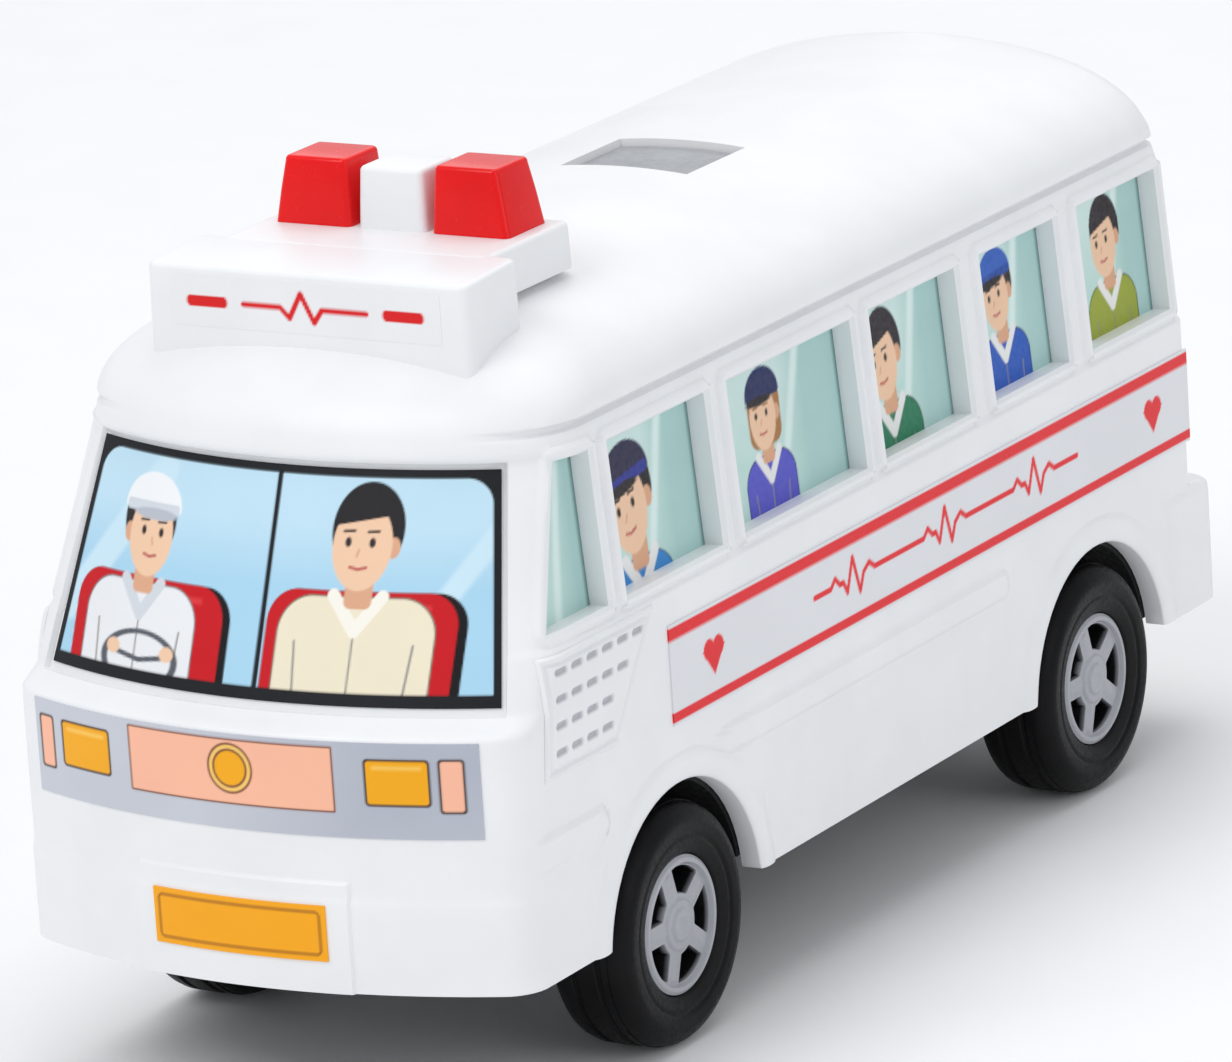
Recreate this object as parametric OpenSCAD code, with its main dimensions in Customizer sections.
// Toy ambulance with a pull-back motor.
// The vehicle faces -Y, stands on Z = 0 and is centred over the origin. Lengths in millimetres.

/* [Overall] */
// Distance between the two axles
wheelbase = 95; // [88:0.5:105]
// Front axle to the front of the bumper
front_overhang = 38.1; // [34:0.1:44]
// Rear axle to the back of the bumper
rear_overhang = 30.4; // [27:0.1:36]
// Width of the body over its side panels
body_w = 62; // [58:0.5:70]
// Wall of the moulded body
wall = 2.2; // [1.6:0.1:2.6]

/* [Heights above the ground] */
// Lower edge of the side panels
sill_z = 14.7; // [13.5:0.1:15.5]
// Lower edge of the bumpers
bumper_bottom_z = 15.3; // [14.8:0.1:16.5]
// Upper edge of the bumpers
bumper_top_z = 29.5; // [28:0.1:31]
// Upper edge of the grille panel
grille_top_z = 42.6; // [41:0.1:43.6]
// Foot of the windscreen
screen_foot_z = 44.3; // [43.8:0.1:46]
// Ledge under the side windows
belt_z = 49.6; // [48:0.1:50.4]
// Head of the windscreen
screen_head_z = 68.3; // [66:0.1:70]
// Roof gutter
gutter_z = 72; // [71:0.1:74]
// Ridge of the roof
roof_z = 82.2; // [80:0.1:86]

/* [Front] */
// Radius of the bow of the front, seen from above
bow_r = 74; // [66:1:95]
// Radius of the two front corners, seen from above
corner_r = 4.5; // [3.5:0.1:6]
// Radius of the two front corners of the roof, seen from above
roof_corner_r = 11; // [6:0.5:12]
// Radius of the two rear corners, seen from above
tail_corner_r = 3.5; // [2.8:0.1:5]
// Grille panel behind the bumper face
grille_setback = 0.3; // [0.1:0.1:1]
// Foot of the windscreen frame behind the bumper face
screen_foot_setback = 3.4; // [2:0.1:5]
// Head of the windscreen frame behind the bumper face
screen_head_setback = 12.9; // [11:0.1:15]
// Depth of the windscreen panel below its frame
screen_recess = 0.7; // [0.4:0.1:1]
// Length of the curve from the windscreen head to the ridge
forehead_run = 30; // [24:1:34]
// Step of the forehead over the windscreen
brow_step = 0.5; // [0.2:0.1:0.8]

/* [Side] */
// Lean of the window band, bottom to gutter, towards the middle
window_lean = 1.7; // [1:0.1:2.5]
// Step of the belt ledge
belt_step = 0.6; // [0.3:0.1:0.9]
// Height of the window openings
window_h = 16.5; // [15:0.1:17.5]
// Height of the glass foot above the belt ledge
window_foot = 1.7; // [1:0.1:2.5]
// Height of the rub rail
rail_h = 3.2; // [2:0.1:4]
// How far rails and lips stand out of the side panels
trim_proud = 0.5; // [0.3:0.1:0.8]
// Width of the raised lip round a wheel arch
lip_w = 2.2; // [1.5:0.1:3]

/* [Tail] */
// Depth of the rear bumper behind the tail panel
tail_step = 4.9; // [3:0.1:6]
// Radius between tail panel and ridge
tail_r = 4; // [3.2:0.1:6]

/* [Wheels] */
// Radius of the tyres
tyre_r = 13.2; // [12.6:0.1:13.8]
// Width of the tyres
tyre_w = 10; // [9:0.1:11]
// Radius of the hubs
hub_r = 7.55; // [7:0.05:8.5]
// Radius of the axles
axle_r = 1.25; // [1:0.05:1.5]
// Gap between tyre and wheel arch
arch_gap = 2.6; // [2:0.1:3.2]

/* [Light bar] */
// Width of the sign
sign_w = 39.6; // [34:0.2:44]
// Depth of the sign, front to back
sign_d = 11; // [9:0.5:13]
// Top of the sign above the ridge
sign_rise = 3.6; // [2.5:0.1:5]
// Front of the sign behind the bumper face
sign_setback = 20.8; // [19:0.1:23]
// Width of the lamp deck
deck_w = 33; // [31:0.2:36]
// Top of the lamp deck above the ridge
deck_rise = 4.2; // [3:0.1:5.5]
// Depth of the lamp deck, front to back
deck_d = 17.6; // [15:0.1:20]
// Height of a lamp cap
lamp_h = 7.2; // [6:0.1:9]
// Depth of a lamp cap, front to back
lamp_d = 8; // [6.5:0.1:9]
// Width of a lamp cap at its foot
lamp_w = 9.4; // [8:0.1:10.5]
// Distance from the centre plane to a lamp cap
lamp_in = 5; // [4.6:0.1:5.5]

/* [Roof hatch] */
// Width of the hatch opening
hatch_w = 16; // [12:0.5:20]
// Length of the hatch opening
hatch_l = 13; // [10:0.5:18]

/* [Motor] */
// Module of the gears
gear_m = 0.6; // [0.5:0.05:0.65]
// Face width of a gear
gear_w = 3; // [2.4:0.1:3.4]
// Width of the spring strip
spring_w = 4.5; // [3.5:0.1:5]
// Wall of the motor case
case_wall = 1.2; // [1:0.1:1.5]

/* [Hidden] */
$fn = 64;

// Clearances
run_gap = 0.05;
seat_gap = 0.05;
side_gap = 0.4;
fit_gap = 0.15;
cut_over = 2;

// Overall places, the raised plate panel of the front bumper counted in
panel_proud = 0.4;
body_l = front_overhang + wheelbase + rear_overhang;
front_y = (panel_proud - body_l) / 2;
rear_y = front_y + body_l;
front_axle_y = front_y + front_overhang;
rear_axle_y = rear_y - rear_overhang;
axle_z = tyre_r;
half_w = body_w / 2;
tail_y = rear_y - tail_step;
side_l = tail_y - front_y;
bow_y = front_y + bow_r;

// Side section
belt_half = half_w - belt_step;
gutter_half = belt_half - window_lean;
gutter_lip = 0.4;
gutter_lip_h = 0.9;
crown_steps = 20;
forehead_steps = 10;
corner_steps = 6;
bow_steps = 24;
bow_clear = 0.2;
slice = 0.01;
bumper_bevel = 0.8;

// Side windows: front and back edges as shares of the side panel's length
window_shares = [[0.1925, 0.3222], [0.3499, 0.5221], [0.546, 0.6727], [0.7068, 0.8203], [0.8537, 0.978]];
quarter_front_share = 0.0965;
quarter_head_share = 0.139;
quarter_back_share = 0.171;
window_z = belt_z + window_foot;

// Vent panel under the quarter window
vent_rows = 4;
vent_slots = 5;
vent_slot_l = 2.4;
vent_slot_h = 0.7;
vent_depth = 0.7;
vent_pitch_y = 4.1;
vent_pitch_z = 3.2;
vent_front_share = 0.094;
vent_drop = 1.6;

// Wheel arches, rails and bumper panel
arch_r = tyre_r + arch_gap;
rail_front_gap = 9;
rail_rear_gap = 21;
rail_lift = 1.1;
rail_z = bumper_top_z + rail_lift;
plate_w = 21;
plate_h = 6;
panel_border = 2.4;
plate_lift = 0.6;
plate_mid_z = (bumper_bottom_z + bumper_top_z - panel_border) / 2 + plate_lift;

// Labels and cards
label_t = 0.15;
card_t = 0.5;
band_front_share = 0.2377;
band_back_share = 0.992;
band_drop = 3.5;
band_h = 10.9;
grille_label_w = 54.4;
grille_label_h = 10.2;
grille_label_drop = 0.3;
screen_head_w = 48.4;
screen_foot_w = 55;
screen_margin = 0.6;
frame_border = 0.9;
sign_label_w = 33;
sign_label_h = 5.4;
tail_label_w = 40;
tail_label_h = 15;
lamp_label_w = 4.5;
lamp_label_h = 11;

// Light bar
sign_corner_r = 3;
deck_slit = 0.8;
deck_lap = 1.5;
sign_wall = 1.8;
block_w = 8.4;
block_drop = 1.3;
lamp_draft = 1.3;
lamp_lean = 0.5;
lamp_wall = 1.2;
lamp_in_draft = 0.4;
lamp_back = 1.6;
lamp_peg_h = 2;
peg_r = 1.8;
peg_gap = 0.1;
peg_share = 0.6;
sign_y = front_y + sign_setback;
sign_top_z = roof_z + sign_rise;
deck_z = roof_z + deck_rise;
deck_y = sign_y + sign_d - deck_lap;
lamp_y = deck_y + deck_d - lamp_d - lamp_back;
peg_places = [-peg_share * deck_w / 2, peg_share * deck_w / 2];
peg_y = deck_y + deck_d / 2;

// Roof hatch
hatch_share = 0.585;
hatch_y = front_y + hatch_share * side_l;
panel_lap = 2.4;
panel_t = 1.2;

// Chassis and its screws
plate_recess = 1.3;
plate_t = 2.4;
plate_z = sill_z + plate_recess;
plate_top = plate_z + plate_t;
well_t = 1.2;
well_inset = 0.5;
well_r = arch_r - well_inset;
wheel_in_x = half_w - tyre_w;
well_x = wheel_in_x - 3 * side_gap;
bearer_w = 4;
bearer_half = 3.6;
bearer_x = well_x - well_t - bearer_w - side_gap;
screw_r = 1.1;
head_r = 2.2;
head_h = 1.1;
head_sink = 1.3;
sink_gap = 0.3;
hole_gap = 0.25;
post_r = 3.4;
post_h = 15;
post_bite = 0.7;
post_x = half_w - wall - post_r + post_bite;
post_arch_gap = 3.5;
post_places = [
    front_axle_y + arch_r + post_r + post_arch_gap,
    rear_axle_y - arch_r - post_r - post_arch_gap
];
screw_reach = 9;

// Wheels
hub_recess = 0.5;
hub_depth = 6;
hub_web = 1.6;
hub_rim = 1;
spoke_land = 0.3;
hub_boss_r = 2.7;
hub_cap = 1.2;
spokes = 5;
spoke_w = 2;
shoulder_r = 2.2;
wall_bulge = 0.5;
axle_half = half_w - hub_recess - hub_cap - seat_gap;

// Gear train: the axle pinion drives the idler's wheel, the idler's pinion drives the spring gear
pinion_teeth = 10;
idler_teeth = 24;
spring_teeth = 28;
pressure_angle = 20;
tooth_thin_share = 0.8;
addendum_share = 0.9;
dedendum_share = 1.25;
flank_steps = 4;
idler_lift = 28;
spring_lift = 19;
// The idler stands swung clear of the axle's pinion, as in an unwound motor, so the axle runs free
swing_gap = 0.4;
axle_to_idler = gear_m * (pinion_teeth + idler_teeth) / 2 + 2 * gear_m * addendum_share + swing_gap;
idler_to_spring = gear_m * (pinion_teeth + spring_teeth) / 2;
idler_y = rear_axle_y - axle_to_idler * cos(idler_lift);
idler_z = axle_z + axle_to_idler * sin(idler_lift);
spring_y = idler_y - idler_to_spring * cos(spring_lift);
spring_z = idler_z + idler_to_spring * sin(spring_lift);
// Angles that bring the gears into mesh at rest, about +X from the +Y axis
idler_dir = 180 - idler_lift;
spring_dir = 180 - spring_lift;
idler_turn = idler_dir + 180 + 180 / idler_teeth;
spring_turn = spring_dir + 180 + 180 / spring_teeth;
// Pins, spring and case
idler_pin_r = 1;
arbor_r = 2.2;
pivot_r = 1.2;
layer_gap = 0.5;
stack_w = 2 * gear_w + spring_w + 4 * layer_gap;
case_half = stack_w / 2 + case_wall;
wheel_x = -stack_w / 2 + layer_gap;
mid_x = wheel_x + gear_w + layer_gap;
coil_x = mid_x + gear_w + layer_gap;
spring_turns = 6;
spring_strip = 0.35;
spring_points = 20;
spring_in_r = arbor_r + seat_gap;
spring_out_r = gear_m * spring_teeth / 2;
coil_room = 1.2;
case_room = 1;
case_y0 = spring_y - spring_out_r - coil_room - case_wall;
case_y1 = rear_axle_y + gear_m * pinion_teeth / 2 + gear_m + case_room + case_wall;
case_z0 = axle_z - gear_m * pinion_teeth / 2 - gear_m - case_room - case_wall;
case_z1 = spring_z + spring_out_r + coil_room + case_wall;
ear_w = 6;
ear_l = 8;
ear_t = 2.6;
ear_y = (case_y0 + idler_y) / 2;
motor_reach = plate_t - head_sink + ear_t;
// Flat pad moulded under the base plate, between the front wheels and the motor
pad_half = 16;
pad_proud = 0.5;
pad_y0 = front_axle_y + arch_r + 2 * pad_proud;
pad_y1 = case_y0 - 8 * pad_proud;

// Points of an arc, from angle a0 to a1
function arc(cx, cy, r, a0, a1, n) =
    [for (i = [0:n]) let (a = a0 + (a1 - a0) * i / n) [cx + r * cos(a), cy + r * sin(a)]];
function flip(points) = [for (i = [len(points) - 1:-1:0]) [-points[i][0], points[i][1]]];

// Height of the roof over a point beside the ridge, for a wall inset d
function crown_z(x, d) =
    gutter_z + (roof_z - gutter_z - d) * sqrt(1 - pow(x / (gutter_half + gutter_lip - d), 2));

// Half outline of the cross-section, from the sill up to the ridge
function section_half(d) = concat(
    [[half_w - d, 0], [half_w - d, belt_z - d], [belt_half - d, belt_z - d + belt_step],
     [gutter_half - d, gutter_z - gutter_lip_h]],
    d > 0 ? [[gutter_half - d, gutter_z]] : [[gutter_half + gutter_lip - d, gutter_z - gutter_lip_h / 2]],
    [for (i = [d > 0 ? 1 : 0:crown_steps]) let (a = 90 * i / crown_steps)
        [(gutter_half + gutter_lip - d) * cos(a), gutter_z + (roof_z - gutter_z - d) * sin(a)]]);

// Radius of the front at the windscreen's height z, before any inset
function screen_r(z) = bow_r - screen_foot_setback
    - (screen_head_setback - screen_foot_setback) * (z - screen_foot_z) / (screen_head_z - screen_foot_z);

// Front profile as radius and height about the bow's axis
function front_profile(d) = concat(
    [[0, 0], [bow_r - d, 0], [bow_r - d, bumper_top_z - d],
     [bow_r - grille_setback - d, bumper_top_z - d + bumper_bevel],
     [bow_r - grille_setback - d, grille_top_z - d],
     [screen_r(screen_foot_z) - d, screen_foot_z - d],
     [screen_r(screen_head_z) - d, screen_head_z - d]],
    [for (i = [0:forehead_steps]) let (a = 90 * i / forehead_steps)
        [screen_r(screen_head_z) + brow_step - forehead_run * (1 - cos(a)) - d,
         screen_head_z - d + brow_step + (roof_z - screen_head_z - brow_step) * sin(a)]],
    [[screen_r(screen_head_z) + brow_step - forehead_run - d, roof_z + cut_over], [0, roof_z + cut_over]]);

// Outline seen from above, inset by d: bow radius r, half width w, front corner radius c
function corner_y(r, w, c) = bow_y - sqrt(pow(r - c, 2) - pow(w - c, 2));
function bow_turn(r, w, c) = acos((w - c) / (r - c));
function plan_half(d, r, w, c) = concat(
    arc(w - tail_corner_r, rear_y - tail_corner_r, tail_corner_r - d, 90, 0, corner_steps),
    arc(w - c, corner_y(r, w, c), c - d, 0, -bow_turn(r, w, c), corner_steps),
    [for (i = [1:bow_steps - 1]) let (a = -bow_turn(r, w, c) - (90 - bow_turn(r, w, c)) * i / bow_steps)
        [(r - d) * cos(a), bow_y + (r - d) * sin(a)]]);
function plan_outline(d, r, w, c) =
    concat(plan_half(d, r, w, c), [[0, bow_y - r + d]], flip(plan_half(d, r, w, c)));
function foot_outline(d) = plan_outline(d, bow_r + bow_clear, half_w, corner_r);
function screen_outline(d) = plan_outline(d, screen_r(screen_foot_z) + bow_clear, half_w, corner_r);
function roof_outline(d) = plan_outline(
    d, screen_r(screen_head_z) + brow_step + bow_clear, gutter_half + gutter_lip, roof_corner_r);

// Side profile of the tail
function tail_profile(d) = concat(
    [[front_y - cut_over, 0], [rear_y - d, 0], [rear_y - d, bumper_top_z - bumper_bevel - d],
     [rear_y - bumper_bevel - d, bumper_top_z - d], [tail_y - d, bumper_top_z - d]],
    arc(tail_y - tail_r, roof_z - tail_r, tail_r - d, 0, 90, corner_steps),
    [[tail_y - tail_r, roof_z + cut_over], [front_y - cut_over, roof_z + cut_over]]);

// Extrudes an outline in (x, z) along Y, or one in (y, z) along X
module along_y(y0, y1) {
    translate([0, y1, 0]) rotate([90, 0, 0]) linear_extrude(y1 - y0) children();
}
module along_x(x0, x1) {
    translate([x0, 0, 0]) rotate([90, 0, 90]) linear_extrude(x1 - x0) children();
}
module rod(x0, x1, y, z, r) {
    translate([x0, y, z]) rotate([0, 90, 0]) cylinder(h = x1 - x0, r = r);
}
module box(x0, x1, y0, y1, z0, z1) {
    translate([x0, y0, z0]) cube([x1 - x0, y1 - y0, z1 - z0]);
}
module both_sides() {
    children();
    mirror([1, 0, 0]) children();
}

// The outline carried up the body, its front corners opening out beside the windscreen
module plan_solid(d) {
    linear_extrude(screen_foot_z - d) polygon(foot_outline(d));
    hull() {
        translate([0, 0, screen_foot_z - d - slice]) linear_extrude(slice) polygon(screen_outline(d));
        translate([0, 0, screen_head_z - d]) linear_extrude(slice) polygon(roof_outline(d));
    }
    translate([0, 0, screen_head_z - d])
        linear_extrude(roof_z + cut_over - screen_head_z) polygon(roof_outline(d));
}

// The body's outer form, inset by d all over and open below
module body_form(d) {
    intersection() {
        along_y(front_y - cut_over, rear_y + cut_over)
            polygon(concat(section_half(d), flip(section_half(d))));
        union() {
            translate([0, bow_y, 0]) rotate_extrude() polygon(front_profile(d));
            box(-half_w - cut_over, half_w + cut_over, bow_y, rear_y + cut_over, 0, roof_z + cut_over);
        }
        along_x(-half_w - cut_over, half_w + cut_over) polygon(tail_profile(d));
        plan_solid(d);
    }
}

// A thin band on the bowed front between two heights, r0 and r1 being its radii there
module front_band(r0, z0, r1, z1, t) {
    translate([0, bow_y, 0])
        rotate_extrude() polygon([[r0, z0], [r0 + t, z0], [r1 + t, z1], [r1, z1]]);
}
// Keeps what lies in a trapezoid seen from the front
module front_window(w0, z0, w1, z1) {
    along_y(front_y - cut_over, front_y + screen_head_setback + half_w / 2)
        polygon([[-w0 / 2, z0], [w0 / 2, z0], [w1 / 2, z1], [-w1 / 2, z1]]);
}

module window_outlines() {
    for (share = window_shares)
        translate([front_y + share[0] * side_l, window_z])
            square([(share[1] - share[0]) * side_l, window_h]);
    polygon([
        [front_y + quarter_front_share * side_l, window_z],
        [front_y + quarter_back_share * side_l, window_z],
        [front_y + quarter_back_share * side_l, window_z + window_h],
        [front_y + quarter_head_share * side_l, window_z + window_h]]);
}

module vent_slots() {
    for (row = [0:vent_rows - 1], slot = [0:vent_slots - 1])
        let (y = front_y + vent_front_share * side_l + slot * vent_pitch_y - row * vent_slot_h,
             z = belt_z - vent_drop - row * vent_pitch_z)
            if (slot < vent_slots - row / 2)
                box(half_w - vent_depth, half_w + cut_over, y, y + vent_slot_l, z, z + vent_slot_h);
}

module arch_lips() {
    for (y = [front_axle_y, rear_axle_y])
        difference() {
            rod(half_w - wall, half_w + trim_proud, y, axle_z, arch_r + lip_w);
            box(half_w - wall - cut_over, half_w + cut_over, y - 2 * arch_r, y + 2 * arch_r,
                -arch_r, bumper_bottom_z);
        }
}

module rub_rail() {
    y0 = front_axle_y + rail_front_gap + rail_h / 2;
    y1 = rear_axle_y - rail_rear_gap - rail_h / 2;
    along_x(half_w - wall, half_w + trim_proud) {
        translate([y0, rail_z - rail_h / 2]) square([y1 - y0, rail_h]);
        for (y = [y0, y1]) translate([y, rail_z]) circle(r = rail_h / 2);
    }
}

module screw_posts() {
    for (y = post_places)
        difference() {
            translate([post_x, y, plate_top]) cylinder(h = post_h, r = post_r);
            translate([post_x, y, plate_top - cut_over])
                cylinder(h = screw_reach + cut_over * 1.5, r = screw_r + seat_gap);
        }
}

// White moulded body
module body_shell() {
    color("white") {
        difference() {
            union() {
                intersection() {
                    body_form(0);
                    box(-half_w, half_w, front_y, rear_y, sill_z, roof_z);
                }
                both_sides() {
                    arch_lips();
                    rub_rail();
                }
                intersection() {
                    front_band(bow_r - wall, bumper_bottom_z, bow_r - wall, bumper_top_z - panel_border,
                               wall + panel_proud);
                    front_window(plate_w + 2 * panel_border, bumper_bottom_z,
                                 plate_w + 2 * panel_border, bumper_top_z - panel_border);
                }
            }
            body_form(wall);
            box(-half_w - cut_over, half_w + cut_over, front_y - cut_over, front_axle_y - arch_r,
                0, bumper_bottom_z);
            box(-half_w - cut_over, half_w + cut_over, rear_axle_y + arch_r, rear_y + cut_over,
                0, bumper_bottom_z);
            for (y = [front_axle_y, rear_axle_y])
                rod(-half_w - cut_over, half_w + cut_over, y, axle_z, arch_r);
            along_x(-half_w - cut_over, half_w + cut_over) window_outlines();
            both_sides() vent_slots();
            intersection() {
                front_band(screen_r(screen_foot_z) - screen_recess, screen_foot_z,
                           screen_r(screen_head_z) - screen_recess, screen_head_z, wall);
                front_window(screen_foot_w + 2 * frame_border, screen_foot_z,
                             screen_head_w + 2 * frame_border, screen_head_z);
            }
            box(-hatch_w / 2, hatch_w / 2, hatch_y - hatch_l / 2, hatch_y + hatch_l / 2,
                gutter_z, roof_z + cut_over);
            for (x = peg_places)
                translate([x, peg_y, gutter_z])
                    cylinder(h = roof_z - gutter_z + cut_over, r = peg_r + peg_gap);
        }
        both_sides() screw_posts();
    }
}

// Hole through the base plate, with a sink below for the screw's head
module screw_hole(x, y) {
    translate([x, y, plate_z - cut_over]) cylinder(h = plate_t + 2 * cut_over, r = screw_r + hole_gap);
    translate([x, y, plate_z - cut_over]) cylinder(h = head_sink + cut_over, r = head_r + sink_gap);
}

// Black base plate with axle bearers and wheel wells
module chassis() {
    well_end = half_w - wall - fit_gap;
    color("black") difference() {
        union() {
            translate([0, 0, plate_z])
                linear_extrude(plate_t) polygon(plan_outline(wall + fit_gap, bow_r, half_w, corner_r));
            box(-pad_half, pad_half, pad_y0, pad_y1, plate_z - pad_proud, plate_top);
            both_sides() for (y = [front_axle_y, rear_axle_y]) {
                difference() {
                    rod(well_x - well_t, well_end, y, axle_z, well_r + well_t);
                    box(0, body_w, y - 2 * arch_r, y + 2 * arch_r, -arch_r, plate_z);
                }
                box(bearer_x, bearer_x + bearer_w, y - bearer_half, y + bearer_half,
                    axle_z - bearer_half, plate_top);
            }
        }
        both_sides() for (y = [front_axle_y, rear_axle_y]) {
            rod(well_x, half_w + cut_over, y, axle_z, well_r);
            rod(-cut_over, half_w, y, axle_z, axle_r + run_gap);
        }
        both_sides() {
            for (y = post_places) screw_hole(post_x, y);
            screw_hole(case_half + ear_w / 2, ear_y);
        }
        box(-case_half - side_gap, case_half + side_gap, case_y0 - side_gap, case_y1 + side_gap,
            plate_z - cut_over, plate_top + cut_over);
    }
}

// White sign and lamp deck
module light_bar() {
    color("white") {
        difference() {
            union() {
                intersection() {
                    along_x(-sign_w / 2, sign_w / 2)
                        polygon([[sign_y, gutter_z], [sign_y, sign_top_z], [sign_y + sign_d, deck_z],
                                 [sign_y + sign_d, gutter_z]]);
                    linear_extrude(deck_z + cut_over) polygon(concat(
                        [[sign_w / 2, sign_y + sign_d]],
                        arc(sign_w / 2 - sign_corner_r, sign_y + sign_corner_r, sign_corner_r,
                            0, -90, corner_steps),
                        arc(-sign_w / 2 + sign_corner_r, sign_y + sign_corner_r, sign_corner_r,
                            -90, -180, corner_steps),
                        [[-sign_w / 2, sign_y + sign_d]]));
                }
                box(-deck_w / 2, deck_w / 2, deck_y, deck_y + deck_d, roof_z - deck_slit, deck_z);
                box(-block_w / 2, block_w / 2, lamp_y, lamp_y + lamp_d,
                    roof_z, deck_z + lamp_h - block_drop);
                both_sides() lamp_form(lamp_wall + seat_gap, lamp_peg_h);
            }
            body_form(-seat_gap);
            box(-sign_w / 2 + sign_wall, sign_w / 2 - sign_wall, sign_y + sign_wall, deck_y - sign_wall,
                gutter_z, sign_top_z - sign_wall);
        }
        for (x = peg_places)
            translate([x, peg_y, crown_z(x, wall) - peg_r])
                cylinder(h = deck_z - peg_r - crown_z(x, wall), r = peg_r);
    }
}

// A lamp cap's tapered form, inset by d and cut off at height h
module lamp_form(d, h) {
    x0 = lamp_in + d;
    x1 = lamp_in + lamp_w - d;
    y0 = lamp_y + d;
    y1 = lamp_y + lamp_d - d;
    intersection() {
        along_y(y0, y1)
            polygon([[x0, deck_z], [x1, deck_z], [x1 - lamp_draft, deck_z + lamp_h],
                     [x0 + lamp_in_draft, deck_z + lamp_h]]);
        along_x(x0, x1)
            polygon([[y0, deck_z], [y1, deck_z], [y1 - lamp_lean, deck_z + lamp_h],
                     [y0 + lamp_lean, deck_z + lamp_h]]);
        box(x0, x1, y0, y1, deck_z, deck_z + h);
    }
}

// Red lamp cap, hollow and open below
module beacon() {
    color("red") difference() {
        lamp_form(0, lamp_h);
        lamp_form(lamp_wall, lamp_h - lamp_wall);
    }
}
module beacon_left() { beacon(); }
module beacon_right() { mirror([1, 0, 0]) beacon(); }

// Grey panel under the roof hatch
module hatch_panel() {
    half = hatch_w / 2 + panel_lap;
    top = crown_z(half, wall) - seat_gap;
    color("darkgray") box(-half, half, hatch_y - hatch_l / 2 - panel_lap, hatch_y + hatch_l / 2 + panel_lap,
                          top - panel_t, top);
}

module windscreen_label() {
    lift = seat_gap - screen_recess;
    z0 = screen_foot_z + screen_margin;
    z1 = screen_head_z - screen_margin;
    color("skyblue") intersection() {
        front_band(screen_r(z0) + lift, z0, screen_r(z1) + lift, z1, label_t);
        front_window(screen_foot_w, z0, screen_head_w, z1);
    }
}

module grille_label() {
    z1 = grille_top_z - grille_label_drop;
    z0 = z1 - grille_label_h;
    r = bow_r - grille_setback + seat_gap;
    color("silver") intersection() {
        front_band(r, z0, r, z1, label_t);
        front_window(grille_label_w, z0, grille_label_w, z1);
    }
}

module plate_front() {
    z0 = plate_mid_z - plate_h / 2;
    r = bow_r + panel_proud + seat_gap;
    color("orange") intersection() {
        front_band(r, z0, r, z0 + plate_h, label_t);
        front_window(plate_w, z0, plate_w, z0 + plate_h);
    }
}

module sign_label() {
    z = sign_top_z - sign_rise / 2;
    color("white") box(-sign_label_w / 2, sign_label_w / 2, sign_y - seat_gap - label_t, sign_y - seat_gap,
                       z - sign_label_h / 2 - sign_rise / 2, z + sign_label_h / 2 - sign_rise / 2);
}

module side_label() {
    z1 = belt_z - band_drop;
    color("mistyrose")
        box(half_w + seat_gap, half_w + seat_gap + label_t,
            front_y + band_front_share * side_l, front_y + band_back_share * side_l, z1 - band_h, z1);
}
module side_label_left() { side_label(); }
module side_label_right() { mirror([1, 0, 0]) side_label(); }

// Printed card behind the side windows, leaning with the wall
module window_card() {
    outer = wall + seat_gap;
    color("lightcyan") intersection() {
        along_y(front_y, rear_y)
            polygon([[belt_half - outer, belt_z + belt_step], [gutter_half - outer, gutter_z - gutter_lip_h],
                     [gutter_half - outer - card_t, gutter_z - gutter_lip_h],
                     [belt_half - outer - card_t, belt_z + belt_step]]);
        body_form(outer);
    }
}
module window_card_left() { window_card(); }
module window_card_right() { mirror([1, 0, 0]) window_card(); }

// Stickers on the tail
module rear_window_label() {
    color("skyblue")
        box(-tail_label_w / 2, tail_label_w / 2, tail_y + seat_gap, tail_y + seat_gap + label_t,
            window_z, window_z + tail_label_h);
}
module plate_rear() {
    z = (bumper_bottom_z + bumper_top_z) / 2;
    color("orange") box(-plate_w / 2, plate_w / 2, rear_y + seat_gap, rear_y + seat_gap + label_t,
                        z - plate_h / 2, z + plate_h / 2);
}
module tail_lamp() {
    x1 = half_w - tail_corner_r;
    z1 = belt_z - band_drop;
    color("red")
        box(x1 - lamp_label_w, x1, tail_y + seat_gap, tail_y + seat_gap + label_t, z1 - lamp_label_h, z1);
}
module tail_lamp_left() { tail_lamp(); }
module tail_lamp_right() { mirror([1, 0, 0]) tail_lamp(); }

// Steel axles
module axle(y) { color("silver") rod(-axle_half, axle_half, y, axle_z, axle_r); }
module front_axle() { axle(front_axle_y); }
module rear_axle() { axle(rear_axle_y); }

// Puts a shape turned about Z on the left end of an axle, its own z along +X
module on_wheel(y, x) { translate([x, y, axle_z]) rotate([0, 90, 0]) children(); }

module tyre(y) {
    c = shoulder_r;
    color("dimgray") on_wheel(y, wheel_in_x)
        rotate_extrude() polygon(concat(
            [[hub_r, wall_bulge]],
            [[hub_r + wall_bulge, 0]],
            arc(tyre_r - c, c, c, -90, 0, corner_steps),
            arc(tyre_r - c, tyre_w - c, c, 0, 90, corner_steps),
            [[hub_r + wall_bulge, tyre_w]],
            [[hub_r, tyre_w - wall_bulge]]));
}
module front_tyre_left() { tyre(front_axle_y); }
module front_tyre_right() { mirror([1, 0, 0]) tyre(front_axle_y); }
module rear_tyre_left() { tyre(rear_axle_y); }
module rear_tyre_right() { mirror([1, 0, 0]) tyre(rear_axle_y); }

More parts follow.
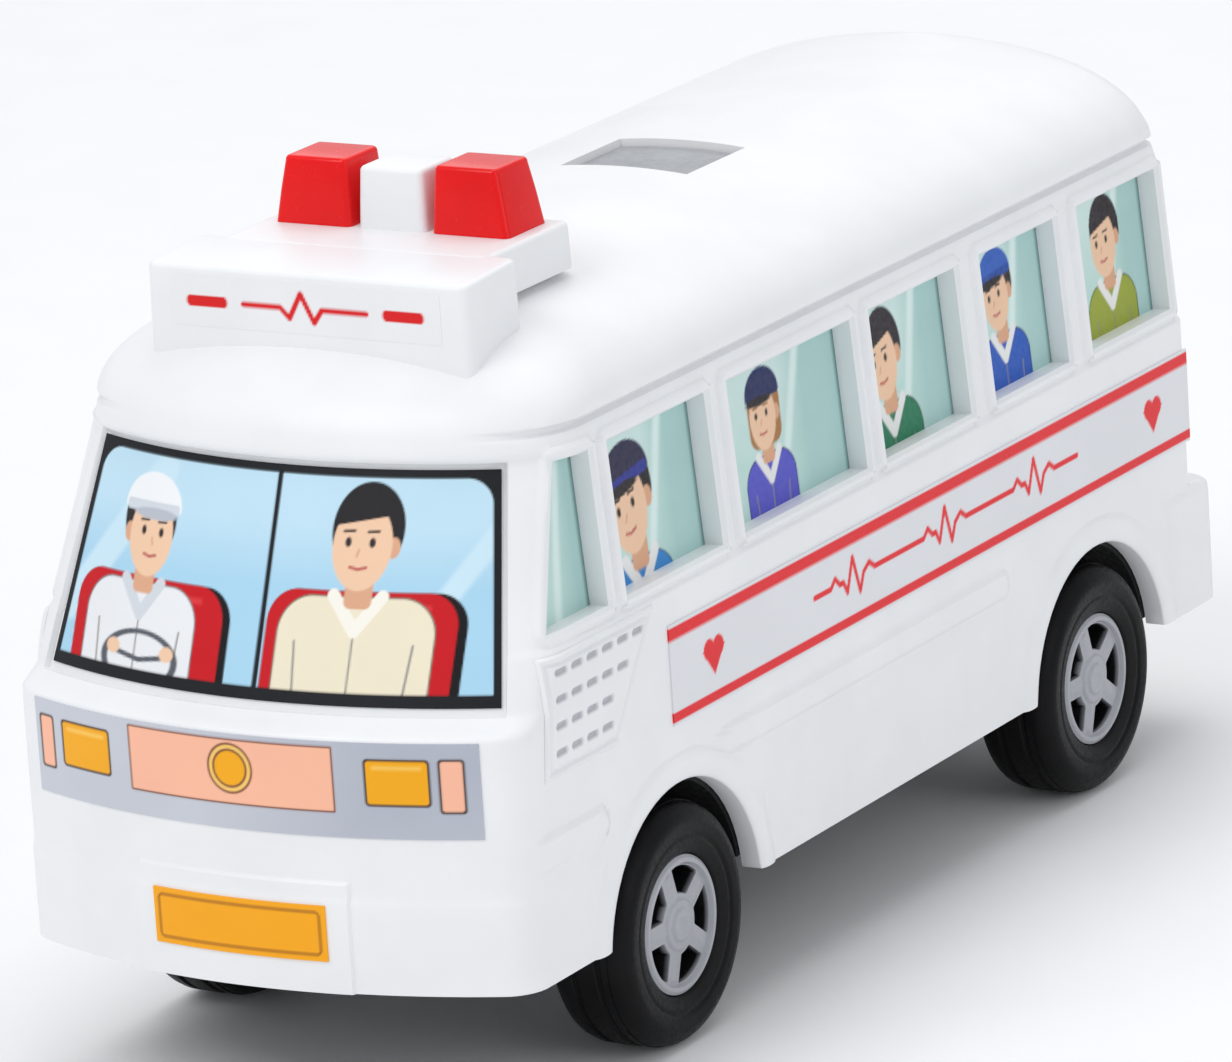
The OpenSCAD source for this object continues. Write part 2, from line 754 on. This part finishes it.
// Five-spoke hub with a blind bore for the axle
module hub(y) {
    rim_in = hub_r - hub_rim;
    color("gray") on_wheel(y, half_w - hub_recess - hub_depth) difference() {
        rotate_extrude() polygon([
            [0, 0], [hub_boss_r, 0], [hub_boss_r, hub_depth - hub_cap - hub_web],
            [rim_in, hub_depth - hub_cap - hub_web], [rim_in, 0], [hub_r - seat_gap, 0],
            [hub_r - seat_gap, hub_depth], [rim_in, hub_depth],
            [rim_in - hub_rim / 2, hub_depth - hub_cap / 2], [hub_boss_r, hub_depth - hub_cap / 2],
            [hub_boss_r - hub_cap / 2, hub_depth], [0, hub_depth]]);
        translate([0, 0, -cut_over])
            cylinder(h = hub_depth - hub_cap + cut_over, r = axle_r + seat_gap);
        for (i = [0:spokes - 1])
            rotate([0, 0, 360 * (i + 1 / 2) / spokes]) translate([0, 0, -cut_over])
                linear_extrude(hub_depth + 2 * cut_over) spoke_gap(rim_in - hub_rim / 2 - spoke_land);
    }
}
// One opening between two spokes, its sides parallel to the spokes
module spoke_gap(r) {
    half = 180 / spokes;
    r0 = (hub_boss_r + spoke_w / 2) / cos(half);
    a0 = half - asin(spoke_w / 2 / r0);
    a1 = half - asin(spoke_w / 2 / r);
    polygon(concat(arc(0, 0, r, -a1, a1, corner_steps), arc(0, 0, r0, a0, -a0, corner_steps)));
}
module front_hub_left() { hub(front_axle_y); }
module front_hub_right() { mirror([1, 0, 0]) hub(front_axle_y); }
module rear_hub_left() { hub(rear_axle_y); }
module rear_hub_right() { mirror([1, 0, 0]) hub(rear_axle_y); }

// Involute gear outline with its first tooth along its own X axis
function involute(rb, r) = let (t = sqrt(pow(r / rb, 2) - 1)) t * 180 / PI - atan(t);
function tooth(teeth, mid) =
    let (rp = gear_m * teeth / 2,
         rb = rp * cos(pressure_angle),
         ro = rp + gear_m * addendum_share,
         rr = rp - gear_m * dedendum_share,
         half = 90 / teeth * tooth_thin_share + involute(rb, rp),
         low = max(rb, rr))
    concat(
        rr < rb ? [[rr * cos(mid - half), rr * sin(mid - half)]] : [],
        [for (i = [0:flank_steps])
            let (r = low + (ro - low) * i / flank_steps, a = mid - half + involute(rb, r))
            [r * cos(a), r * sin(a)]],
        [for (i = [flank_steps:-1:0])
            let (r = low + (ro - low) * i / flank_steps, a = mid + half - involute(rb, r))
            [r * cos(a), r * sin(a)]],
        rr < rb ? [[rr * cos(mid + half), rr * sin(mid + half)]] : []);
module gear(teeth, turn) {
    polygon([for (i = [0:teeth - 1]) each tooth(teeth, turn + 360 * i / teeth)]);
}

module gear_on(x0, w, y, z, teeth, turn) {
    translate([x0, y, z]) rotate([90, 0, 90]) linear_extrude(w) gear(teeth, turn);
}

module axle_pinion() {
    color("ivory") difference() {
        gear_on(wheel_x, gear_w, rear_axle_y, axle_z, pinion_teeth, idler_dir);
        rod(-case_half, case_half, rear_axle_y, axle_z, axle_r + seat_gap);
    }
}

module idler_gear() {
    color("ivory") difference() {
        union() {
            gear_on(wheel_x, gear_w, idler_y, idler_z, idler_teeth, idler_turn);
            gear_on(wheel_x + gear_w, gear_w + layer_gap, idler_y, idler_z, pinion_teeth, spring_dir);
        }
        rod(-case_half, case_half, idler_y, idler_z, idler_pin_r + run_gap);
    }
}

module idler_pin() {
    color("silver") rod(-case_half, case_half, idler_y, idler_z, idler_pin_r);
}

module spring_gear() {
    color("ivory") {
        gear_on(mid_x, gear_w, spring_y, spring_z, spring_teeth, spring_turn);
        rod(mid_x + gear_w, coil_x + spring_w, spring_y, spring_z, arbor_r);
        rod(-case_half, mid_x, spring_y, spring_z, pivot_r);
        rod(coil_x + spring_w, case_half, spring_y, spring_z, pivot_r);
    }
}

// Flat spiral from the arbor outwards
module mainspring() {
    pitch = (spring_out_r - spring_strip - spring_in_r) / spring_turns;
    steps = spring_turns * spring_points;
    function turn_at(i) = 360 * i / spring_points;
    function r_at(i) = spring_in_r + pitch * i / spring_points;
    color("slategray") translate([coil_x, spring_y, spring_z]) rotate([90, 0, 90]) linear_extrude(spring_w)
        polygon(concat(
            [for (i = [0:steps]) r_at(i) * [cos(turn_at(i)), sin(turn_at(i))]],
            [for (i = [steps:-1:0]) (r_at(i) + spring_strip) * [cos(turn_at(i)), sin(turn_at(i))]]));
}

// The motor case, split at the centre plane
module motor_case() {
    difference() {
        union() {
            box(-case_half, case_half, case_y0, case_y1, case_z0, case_z1);
            both_sides() box(case_half - case_wall, case_half + ear_w, ear_y - ear_l / 2, ear_y + ear_l / 2,
                             plate_top, plate_top + ear_t);
        }
        box(-case_half + case_wall, case_half - case_wall, case_y0 + case_wall, case_y1 - case_wall,
            case_z0 + case_wall, case_z1 - case_wall);
        rod(-case_half - cut_over, case_half + cut_over, rear_axle_y, axle_z, axle_r + run_gap);
        rod(-case_half - cut_over, case_half + cut_over, idler_y, idler_z, idler_pin_r + seat_gap);
        rod(-case_half - cut_over, case_half + cut_over, spring_y, spring_z, pivot_r + run_gap);
        both_sides() translate([case_half + ear_w / 2, ear_y, plate_top - cut_over])
            cylinder(h = ear_t + 2 * cut_over, r = screw_r + seat_gap);
    }
}
module case_half_room(x0, x1) {
    box(x0, x1, case_y0 - cut_over, case_y1 + cut_over, 0, case_z1 + cut_over);
}
module motor_case_left() {
    color("dimgray") intersection() {
        motor_case();
        case_half_room(0, half_w);
    }
}
module motor_case_right() {
    color("dimgray") intersection() {
        motor_case();
        case_half_room(-half_w, 0);
    }
}

// Pan-head screw standing on its head, its neck at height z
module screw(x, y, z, reach) {
    translate([x, y, z - head_h]) cylinder(h = head_h, r = head_r);
    translate([x, y, z]) cylinder(h = reach, r = screw_r);
}
module chassis_screws() {
    color("silver") both_sides() for (y = post_places)
        screw(post_x, y, plate_z + head_sink, plate_t - head_sink + screw_reach);
}
module motor_screws() {
    color("silver") both_sides() screw(case_half + ear_w / 2, ear_y, plate_z + head_sink, motor_reach);
}

body_shell();
chassis();
light_bar();
beacon_left();
beacon_right();
hatch_panel();
windscreen_label();
grille_label();
plate_front();
sign_label();
side_label_left();
side_label_right();
window_card_left();
window_card_right();
rear_window_label();
plate_rear();
tail_lamp_left();
tail_lamp_right();
front_axle();
rear_axle();
front_tyre_left();
front_tyre_right();
rear_tyre_left();
rear_tyre_right();
front_hub_left();
front_hub_right();
rear_hub_left();
rear_hub_right();
motor_case_left();
motor_case_right();
axle_pinion();
idler_gear();
idler_pin();
spring_gear();
mainspring();
chassis_screws();
motor_screws();
